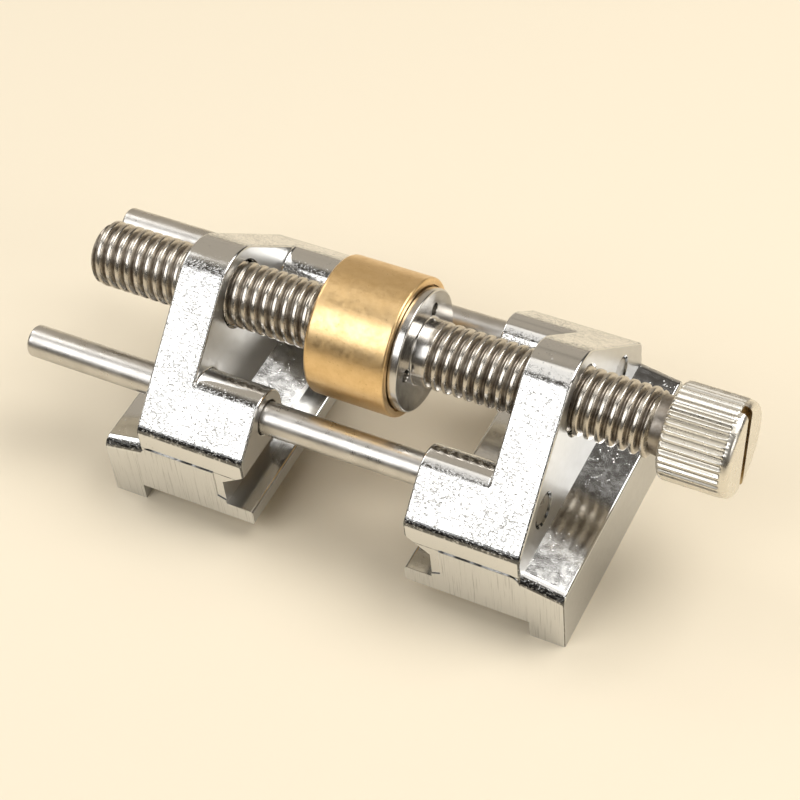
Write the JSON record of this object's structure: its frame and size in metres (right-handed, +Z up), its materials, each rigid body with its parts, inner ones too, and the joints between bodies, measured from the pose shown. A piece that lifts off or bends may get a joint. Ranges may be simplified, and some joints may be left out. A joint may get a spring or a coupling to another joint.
{
  "type": "side-clamping honing guide",
  "caption": "Honing guide whose two cast jaws close together on a blade by a left-and-right-hand screw, with a brass roller between them and guide rods below.",
  "frame": {"origin": "bottom centre of the overall box, level with the feet", "axes": "+X along the lead screw towards the knob, +Y to the back, +Z up"},
  "size_m": [0.1304, 0.0536, 0.0446],
  "materials": {
    "plated_casting": "bright plating over a slightly pitted casting, satin on the ground front and back faces",
    "rod_steel": "drawn bright",
    "screw_steel": "rolled thread, bright",
    "hub_steel": "turned and polished",
    "bush_bronze": "plain bearing bronze",
    "roller_brass": "turned, satin",
    "knob_nickel": "nickel plate, straight knurl"
  },
  "bodies": {
    "fixed_jaw": {"right_jaw": "plated_casting", "front_guide_rod": "rod_steel", "rear_guide_rod": "rod_steel"},
    "sliding_jaw": {"left_jaw": "plated_casting"},
    "carriage": {"roller_bush": "bush_bronze"},
    "spindle": {"left_screw": "screw_steel", "right_screw": "screw_steel", "roller_hub": "hub_steel", "roller_retainer": "hub_steel", "adjusting_knob": "knob_nickel"},
    "wheel": {"roller": "roller_brass"}
  },
  "joints": [
    {"name": "screw_travel", "type": "slide", "parent": "fixed_jaw", "child": "carriage", "axis": [1, 0, 0], "range_m": [-0.0156, 0.0146]},
    {"name": "knob_turn", "type": "hinge", "parent": "carriage", "child": "spindle", "pos_m": [0, 0, 0.032], "axis": [-1, 0, 0], "range_deg": [-2800, 2620]},
    {"name": "roller_spin", "type": "hinge", "parent": "carriage", "child": "wheel", "pos_m": [0, 0, 0.032], "axis": [1, 0, 0], "continuous": true},
    {"name": "jaw_travel", "type": "slide", "parent": "fixed_jaw", "child": "sliding_jaw", "axis": [1, 0, 0], "range_m": [-0.031, 0.029]}
  ],
  "couplings": [
    {"joint": "screw_travel", "follows": "jaw_travel", "ratio": 0.5},
    {"joint": "knob_turn", "follows": "jaw_travel", "rad_per_m": 1570.8}
  ]
}
